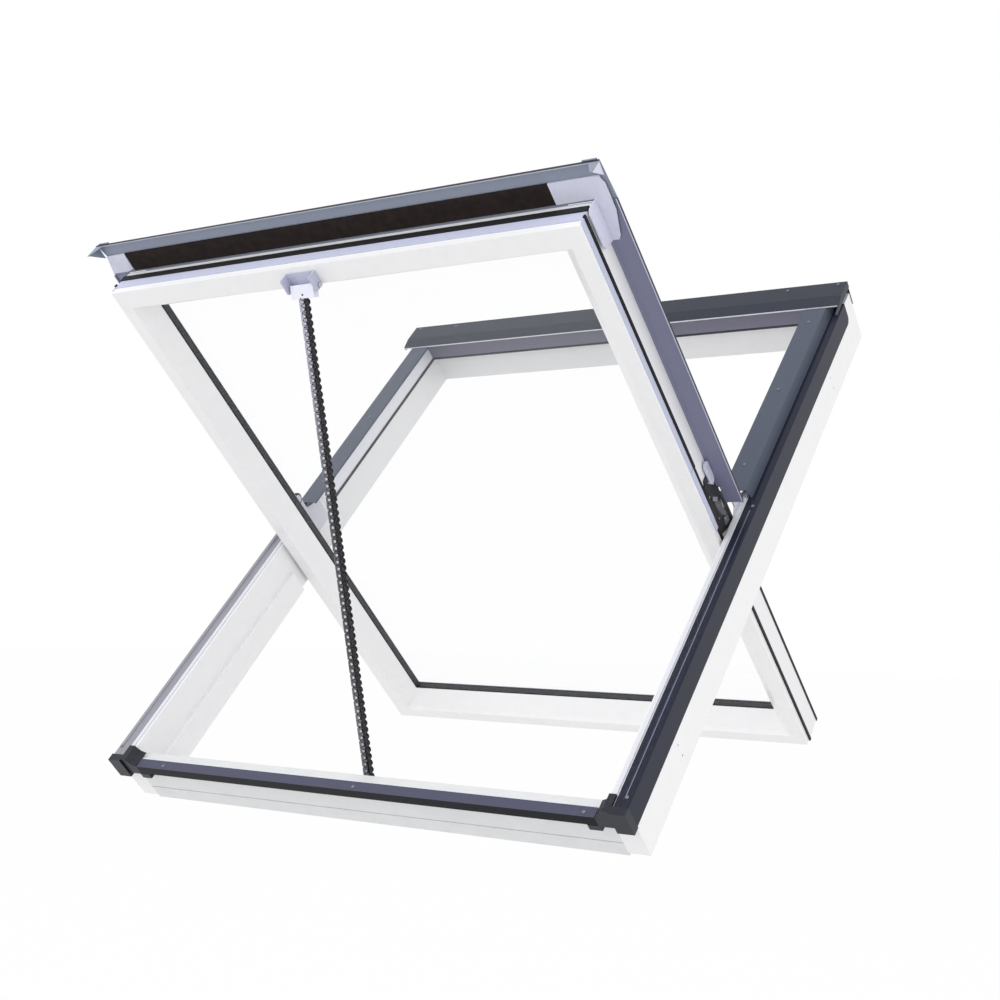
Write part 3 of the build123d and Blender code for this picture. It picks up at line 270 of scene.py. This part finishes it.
# Push chain: side plates over two links each, a rivet to each pitch and a lobe on the side it leans on
PIN_S = PIN_Q * math.cos(OPEN) + PIN_M * math.sin(OPEN)
PIN_N = PIN_M * math.cos(OPEN) - PIN_Q * math.sin(OPEN)
REACH = math.hypot(EXIT_S - PIN_S, EXIT_N - PIN_N)
ALONG = ((EXIT_S - PIN_S) / REACH, (EXIT_N - PIN_N) / REACH)
OUT = (-ALONG[1], ALONG[0])
PITCH = 12.7
CHAIN_X = -50.0


def chain_point(x, y, z):
    """Point of the chain: x across, y from the pin to the exit, z away from the front."""
    lean = -2.0 + 7.7 * y / REACH
    s = PIN_S + y * ALONG[0] + z * OUT[0]
    n = PIN_N + y * ALONG[1] + z * OUT[1]
    return frame_point(CHAIN_X + lean + x, s, n)


def oval(x, y, rx, ry, count):
    """Points of an ellipse."""
    turn = 2 * math.pi / count
    return [(x + rx * math.cos(k * turn), y + ry * math.sin(k * turn)) for k in range(count)]


verts, faces, kinds = [], [], []


def chain_part(outline, z0, z1, kind):
    """Add one prism of the chain, drawn in x and y."""
    before = len(faces)
    lower = [chain_point(x, y, z0) for x, y in outline]
    add_prism(verts, faces, lower, [chain_point(x, y, z1) for x, y in outline])
    kinds.extend([kind] * (len(faces) - before))


START = 20.0
links = int((REACH + 26 - START) / PITCH)
for link in range(links):
    y0 = START + link * PITCH
    mid = y0 + PITCH / 2
    y2 = y0 + 2 * PITCH
    chain_part([(-7.4, y0), (5.2, y0), (5.2, y0 + PITCH), (-7.4, y0 + PITCH)], -6.8, 2.6, 1)
    lobe = [(2.5, y0 + 1.0), (5.5, y0 + 1.2), (7.8, y0 + 3.4), (8.4, mid)]
    lobe += [(7.8, y0 + 9.4), (5.5, y0 + 11.6), (2.5, y0 + 11.8)]
    chain_part(lobe, -8.2, -4.6, 3)
    chain_part([(x - 0.5, y) for x, y in lobe], -3.4, -0.8, 1)
    chain_part([(x - 0.2, y) for x, y in lobe], 0.4, 3.2, 1)
    if link % 2 == 0:
        band = [(-8.2, y0 + 2.0), (-7.2, y0 + 0.7), (2.6, y0 + 0.7), (3.6, y0 + 2.0)]
        band += [(3.6, y2 - 2.0), (2.6, y2 - 0.7), (-7.2, y2 - 0.7), (-8.2, y2 - 2.0)]
        chain_part(band, -8.9, -7.0, 0)
        chain_part(band, 2.8, 3.8, 0)
    chain_part(oval(0.6, mid, 4.0, 4.4, 12), -9.3, -8.8, 1)
    chain_part(oval(0.3, mid, 2.7, 2.7, 10), -10.2, -9.2, 2)
    chain_part(oval(-3.4, y0, 1.3, 1.6, 8), -9.2, -8.8, 1)
chain_looks = [link_steel_painted_light, dark_steel, rivet_steel, dark_steel]
push_chain = piece("push_chain", verts, faces, chain_looks, "chain_head", kinds)
along_world = (chain_point(0, 100, 0) - chain_point(0, 0, 0)).normalized()
along_world = Vector((0.0, along_world.y, along_world.z)).normalized()
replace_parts(push_chain, "chain")
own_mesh(push_chain)

# Small parts of the bracket and of the foot of the chain
mark = []
for y, z in ((12, -9.6), (15, -9.6), (15, -9.0), (12, -9.0)):
    mark.append((PIN_S + ALONG[0] * y + OUT[0] * z, PIN_N + ALONG[1] * y + OUT[1] * z))
plate("block_mark_0", frame_point, mark, -51.6, -48.4, dark_plastic, "chain_head")
bar("chain_foot", frame_point, (-66.0, -627.0, -166.5), (4.0, -619.0, -163.5), light_plastic, "frame")


def exit_point(x, y, z):
    """Point of the guide: x across, y along the chain from the exit axis, z away from the front."""
    s = EXIT_S + y * ALONG[0] + z * OUT[0]
    return frame_point(CHAIN_X + x, s, EXIT_N + y * ALONG[1] + z * OUT[1])


# The guide sits low between its ears, so that only its rim shows behind the lower frame member
verts, faces = [], []
for x0, x1, z0, z1 in ((-20, -8.5, -12, 7), (13, 20, -12, 7), (-8.5, 13, -12, -10.4), (-8.5, 13, 5, 7)):
    wall = ((x0, z0), (x1, z0), (x1, z1), (x0, z1))
    lower = [exit_point(x, 20.0, z) for x, z in wall]
    add_prism(verts, faces, lower, [exit_point(x, 34.0, z) for x, z in wall])
for x0, x1 in ((-25.0, -20.0), (20.0, 25.0)):
    arm = [(26.0, -6.0), (32.0, -6.0), (32.0, 4.0), (26.0, 4.0)]
    add_prism(verts, faces, [exit_point(x0, y, z) for y, z in arm], [exit_point(x1, y, z) for y, z in arm])
guide = piece("guide_low", verts, faces, [dark_steel], "chain_exit")
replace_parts(guide, "chain_guide")
verts, faces = [], []
for x0, x1 in ((-79.0, -75.5), (-24.5, -21.0)):
    ear = [(-651.5, -192.0), (-622.0, -192.0), (-616.0, -184.0)]
    ear += [(-616.0, -172.0), (-622.0, -166.0), (-651.5, -166.0)]
    lower = [frame_point(x0, a, b) for a, b in ear]
    add_prism(verts, faces, lower, [frame_point(x1, a, b) for a, b in ear])
ears = piece("ears_low", verts, faces, [drive_metal], "frame")
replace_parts(ears, "guide_ears")

# Seal under the glass, flush with the edge of the timber, so that it shows only at the sides seen past it
verts, faces = [], []
SEAL_RUNS = (
    (-480.0, -617.0, 480.0, -598.3),
    (-480.0, 573.2, 480.0, 592.0),
    (-480.0, -598.3, -461.3, 573.2),
    (461.3, -598.3, 480.0, 573.2),
)
for x0, q0, x1, q1 in SEAL_RUNS:
    run = ((x0, q0), (x1, q0), (x1, q1), (x0, q1))
    lower = [sash_point(x, q, -69.0) for x, q in run]
    add_prism(verts, faces, lower, [sash_point(x, q, -66.0) for x, q in run])
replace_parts(piece("seal_flush", verts, faces, [seal], "sash"), "glazing_seal_inner")


# Hinge parts on the sides of the sash: dark body and box, and steel friction parts
HINGE_PLATES = (
    (
        "body", hinge_black, 0.1, 2.6,
        [
            (-75.3, -74.2), (-34.0, -38.4), (12.0, -38.4), (15.0, -28.8), (52.0, -28.8),
            (50.0, -54.8), (39.9, -85.6), (7.1, -87.0), (-69.0, -80.9),
        ],
    ),
    (
        "box", dark_plastic, 2.6, 3.1,
        [
            (-81.4, -70.7), (-48.4, -43.5), (-12.0, -43.5), (-2.3, -46.9), (-36.4, -63.7),
            (-44.3, -75.1), (-70.2, -78.8),
        ],
    ),
    (
        "block", steel, 3.1, 3.6,
        [(-37.1, -66.1), (-23.6, -52.3), (-18.1, -58.2), (-31.6, -72.0)],
    ),
    (
        "arm_low", dull_steel, 3.1, 3.5,
        [
            (-25.8, -66.1), (-13.1, -51.4), (23.7, -45.3), (26.5, -50.5), (10.6, -62.5),
            (-19.2, -69.2),
        ],
    ),
    (
        "arm_high", dull_steel, 3.1, 3.5,
        [
            (30.1, -44.5), (42.7, -44.8), (40.5, -58.7), (37.5, -65.4), (27.7, -62.3),
            (26.9, -50.8),
        ],
    ),
    (
        "dot_a", steel, 3.1, 3.6,
        [(-48.5, -79.6), (-44.9, -79.6), (-44.9, -75.6), (-48.5, -75.6)],
    ),
    (
        "dot_b", steel, 3.1, 3.6,
        [(7.0, -77.0), (11.0, -77.0), (11.0, -73.4), (7.0, -73.4)],
    ),
    (
        "dot_c", steel, 3.3, 3.7,
        [(24.0, -59.5), (28.6, -59.5), (28.6, -55.0), (24.0, -55.0)],
    ),
    (
        "bit", steel, 3.1, 3.6,
        [(-11.6, -46.0), (-3.8, -44.5), (9.0, -45.0), (8.1, -49.5), (-1.8, -50.0)],
    ),
    (
        "edge", steel, 3.1, 3.5,
        [(-69.8, -62.8), (-50.6, -45.1), (-48.5, -46.5), (-68.2, -64.9)],
    ),
)
HINGE_FACE = 523.2
FLANGE_LOW = -659.0
SASH_BARS = (
    ("stile_trim", lavender, (523.0, -127.0, -98.0), (524.6, 21.0, -86.0)),
    ("stile_seal", seal, (523.0, -127.0, -86.0), (525.6, 21.0, -80.0)),
    ("hinge_fill", hinge_black, (523.0, -36.0, -38.9), (526.9, 5.0, -37.6)),
    ("hinge_lip", sash_sheet_painted_reflection, (530.2, -36.0, -38.9), (533.0, 5.0, -37.6)),
    # Painted highlight and painted shade along the side flange's fold: flange_edge is a thin lavender line
    # and flange_line a dark line.
    ("flange_edge", lavender, (563.2, FLANGE_LOW, -41.2), (565.2, -2.0, -41.0)),
    ("flange_line", hinge_black, (565.1, FLANGE_LOW, -41.0), (565.8, -2.0, -37.0)),
    ("apron_clip", sash_sheet_painted_reflection, (530.0, -731.0, -37.0), (556.0, -722.0, -33.5)),
)
for side, sign in (("left", -1.0), ("right", 1.0)):
    for name, mat, lift0, lift1, outline in HINGE_PLATES:
        x0, x1 = sign * (HINGE_FACE + lift0), sign * (HINGE_FACE + lift1)
        plate(f"hinge_{name}_{side}", sash_point, outline, x0, x1, mat, "sash")
    for name, mat, low, high in SASH_BARS:
        low = (sign * low[0], low[1], low[2])
        high = (sign * high[0], high[1], high[2])
        bar(f"{name}_{side}", sash_point, low, high, mat, "sash")
    end_mat = light_plastic if sign > 0 else flange_sheet_painted_reflection
    end = [(-729.0, -37.5), (-729.0, -71.0), (-703.0, -39.5)]
    if sign < 0:
        end = [(-729.0, -37.5), (-729.0, -71.0), (-709.0, -49.0), (-699.0, -37.5)]
    plate(f"apron_end_{side}", sash_point, end, sign * 558.8, sign * 560.2, end_mat, "sash")
    strip_low = (sign * 534.0, -686.0, -47.0)
    strip_high = (sign * 542.0, -668.0, -44.0)
    bar(f"strip_end_{side}", frame_point, strip_low, strip_high, pale_strip, "frame")
# Painted highlight and painted shade along the front edge of the bottom flange: a thin light grey line and a
# dark line.
bar("flange_edge_low", sash_point, (-560.0, -729.0, -42.3), (560.0, -727.6, -41.9), edge_highlight_grey, "sash")
bar("flange_line_low", sash_point, (-561.0, -729.7, -41.0), (561.0, -729.0, -36.5), hinge_black, "sash")
corner = [(527.5, -664.0), (527.5, -590.0), (541.0, -586.0), (546.0, -592.0), (557.0, -640.0)]
corner += [(557.0, -690.0), (551.0, -703.0), (540.0, -703.0), (540.0, -664.0)]
verts, faces = [], []
lower = [sash_point(x, q, -41.4) for x, q in corner]
add_prism(verts, faces, lower, [sash_point(x, q, -40.2) for x, q in corner])
piece("corner_flat_right", verts, faces, [light_plastic], "sash")
# Painted highlight: a thin lighter line along the inner ridge of each side cover.
ridge_highlight_paint = material("painted ridge highlight", srgb(112, 114, 138), 0.4, spec=0.4, grain=0.05, grain_scale=200)
for side, sign in (("left", -1.0), ("right", 1.0)):
    ridge_low = (sign * 559.4, -690.0, -43.2)
    ridge_high = (sign * 561.2, -20.0, -42.6)
    bar(f"painted_ridge_highlight_{side}", frame_point, ridge_low, ridge_high, ridge_highlight_paint, "frame")
# Painted highlight: a thin pale line along the bent edge of the top cover.
bar("top_cover_edge_highlight", frame_point, (-570.0, 608.8, -26.3), (570.0, 610.0, -24.2), pale_strip, "frame")

# Camera fitted to the photo
camera_data = bpy.data.cameras.new("camera")
camera_data.sensor_width = 36.0
camera_data.lens = 52.107
camera_data.clip_end = 100.0
camera = bpy.data.objects.new("camera", camera_data)
camera.location = (1.631588, -2.075300, 0.399797)
camera.rotation_euler = (1.636969, -0.016521, 0.577089)
bpy.context.scene.collection.objects.link(camera)
bpy.context.scene.camera = camera
bpy.context.scene.view_settings.view_transform = "Standard"

# White surroundings
world = bpy.data.worlds.new("world")
bpy.context.scene.world = world
world.use_nodes = True
world_nodes, world_links = world.node_tree.nodes, world.node_tree.links
background = world_nodes["Background"]
background.inputs["Color"].default_value = (1.0, 1.0, 1.0, 1.0)
background.inputs["Strength"].default_value = 0.82
plain = world_nodes.new("ShaderNodeBackground")
plain.inputs["Color"].default_value = (1.0, 1.0, 1.0, 1.0)
plain.inputs["Strength"].default_value = 1.0
path = world_nodes.new("ShaderNodeLightPath")
mix = world_nodes.new("ShaderNodeMixShader")
first = world_nodes.new("ShaderNodeMath")
first.operation = "MAXIMUM"
both = world_nodes.new("ShaderNodeMath")
both.operation = "MAXIMUM"
world_links.new(path.outputs["Is Camera Ray"], first.inputs[0])
world_links.new(path.outputs["Is Glossy Ray"], first.inputs[1])
world_links.new(first.outputs["Value"], both.inputs[0])
world_links.new(path.outputs["Is Transmission Ray"], both.inputs[1])
world_links.new(both.outputs["Value"], mix.inputs["Fac"])
world_links.new(background.outputs["Background"], mix.inputs[1])
world_links.new(plain.outputs["Background"], mix.inputs[2])
world_links.new(mix.outputs["Shader"], world_nodes["World Output"].inputs["Surface"])


def area_light(name, place, target, size, power):
    """Soft rectangular light aimed at a point."""
    data = bpy.data.lights.new(name, "AREA")
    data.shape = "RECTANGLE"
    data.size = size
    data.size_y = size
    data.energy = power
    light = bpy.data.objects.new(name, data)
    light.location = place
    light.rotation_euler = (Vector(target) - Vector(place)).to_track_quat("-Z", "Y").to_euler()
    bpy.context.scene.collection.objects.link(light)
    return light


area_light("key", (-1.5, -3.5, 3.5), (0, 0, 0.6), 3.0, 100)
area_light("fill", (4.0, -1.0, 2.0), (0, 0, 0.6), 3.0, 40)

# Floor well below the window
floor_mesh = bpy.data.meshes.new("floor")
size = 30.0
floor_corners = [(-size, -size, 0), (size, -size, 0), (size, size, 0), (-size, size, 0)]
floor_mesh.from_pydata(floor_corners, [], [(0, 1, 2, 3)])
floor = bpy.data.objects.new("floor", floor_mesh)
floor.location = (0, 0, -1.2)
bpy.context.scene.collection.objects.link(floor)
floor_mat = material("floor", (0.9, 0.9, 0.9, 1), 0.9, spec=0.0, grain=0.005, grain_scale=2)
floor_nodes, floor_links = floor_mat.node_tree.nodes, floor_mat.node_tree.links
shine = floor_nodes.new("ShaderNodeEmission")
shine.inputs["Color"].default_value = (1.0, 1.0, 1.0, 1.0)
shine.inputs["Strength"].default_value = 1.0
rays = floor_nodes.new("ShaderNodeLightPath")
seen = floor_nodes.new("ShaderNodeMath")
seen.operation = "MAXIMUM"
seen_all = floor_nodes.new("ShaderNodeMath")
seen_all.operation = "MAXIMUM"
share = floor_nodes.new("ShaderNodeMath")
share.operation = "MULTIPLY"
share.inputs[1].default_value = 0.97
floor_mix = floor_nodes.new("ShaderNodeMixShader")
floor_links.new(rays.outputs["Is Camera Ray"], seen.inputs[0])
floor_links.new(rays.outputs["Is Glossy Ray"], seen.inputs[1])
floor_links.new(seen.outputs["Value"], seen_all.inputs[0])
floor_links.new(rays.outputs["Is Transmission Ray"], seen_all.inputs[1])
floor_links.new(seen_all.outputs["Value"], share.inputs[0])
floor_links.new(share.outputs["Value"], floor_mix.inputs["Fac"])
floor_links.new(floor_nodes["Principled BSDF"].outputs["BSDF"], floor_mix.inputs[1])
floor_links.new(shine.outputs["Emission"], floor_mix.inputs[2])
floor_links.new(floor_mix.outputs["Shader"], floor_nodes["Material Output"].inputs["Surface"])
dress(floor, floor_mat)
